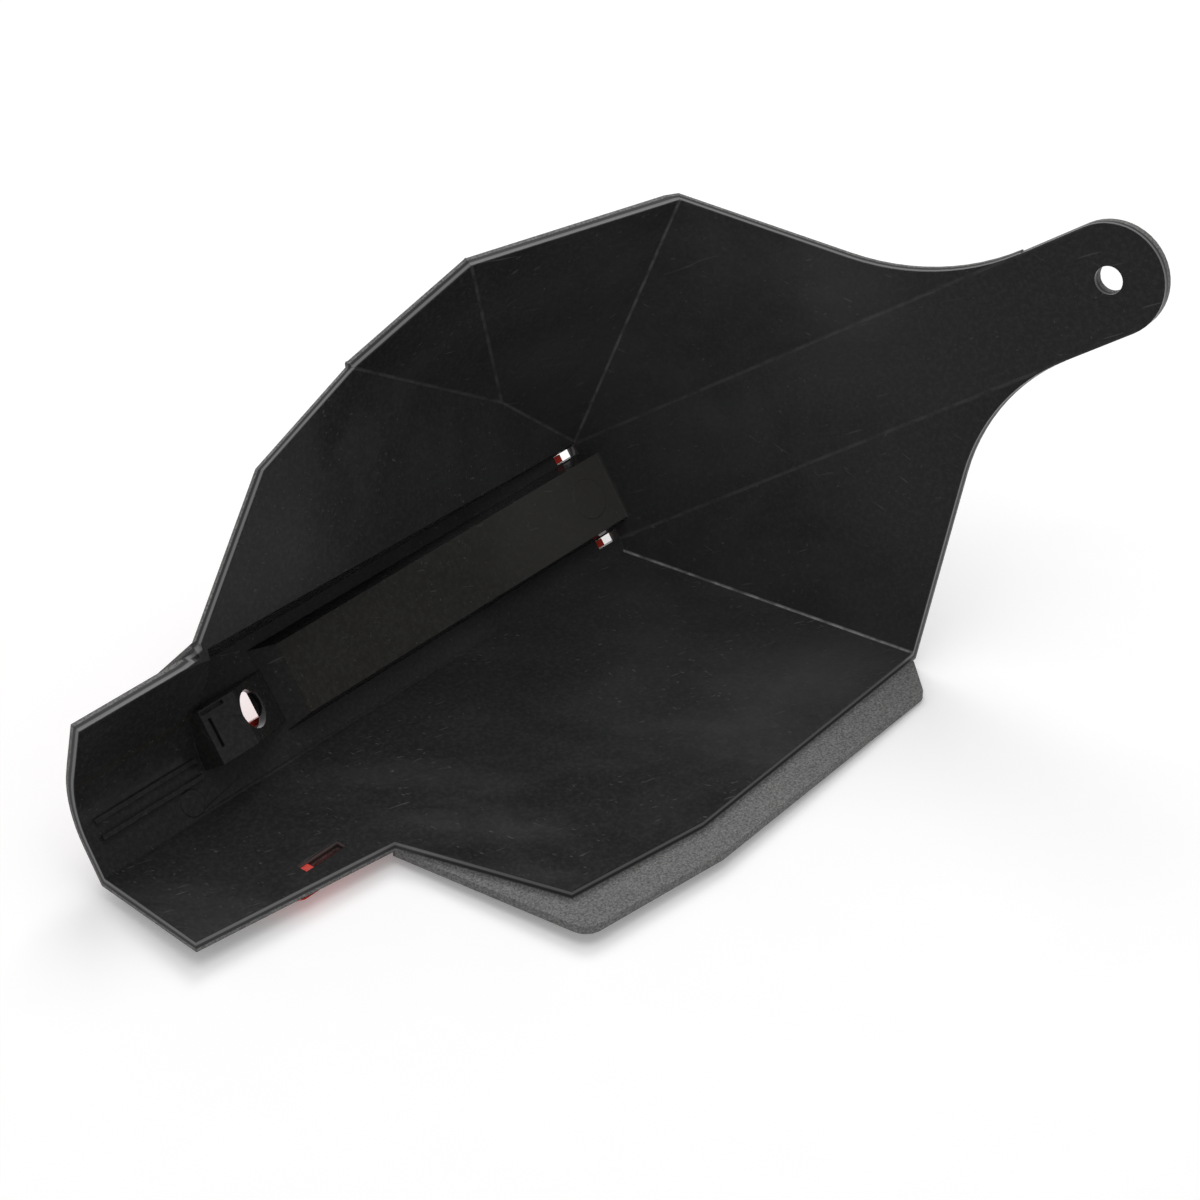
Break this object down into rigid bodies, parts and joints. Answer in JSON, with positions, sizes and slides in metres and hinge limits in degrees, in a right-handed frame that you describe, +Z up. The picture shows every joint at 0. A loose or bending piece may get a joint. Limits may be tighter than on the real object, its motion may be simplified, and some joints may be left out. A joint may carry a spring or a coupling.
{
  "type": "motorcycle hand guard",
  "caption": "Faceted hand guard moulding with a long bent arm to the bar end, a half-round cover over the bar, a raised spine channel and a coloured trim clipped to its outer side.",
  "frame": {"origin": "centre of the bounding box's bottom face, with the guard lying on its lower panel as in the picture", "axes": "+X along the spine towards the arm, +Y towards the upper edge of the shield, +Z up from the surface it lies on"},
  "size_m": [0.2267, 0.1502, 0.1187],
  "materials": {
    "black_plastic": "glossy on the hand's side, grained on the outer side",
    "red_plastic": "smooth"
  },
  "bodies": {
    "root": {"guard_shell": "black_plastic", "accent_trim": "red_plastic"}
  },
  "joints": []
}
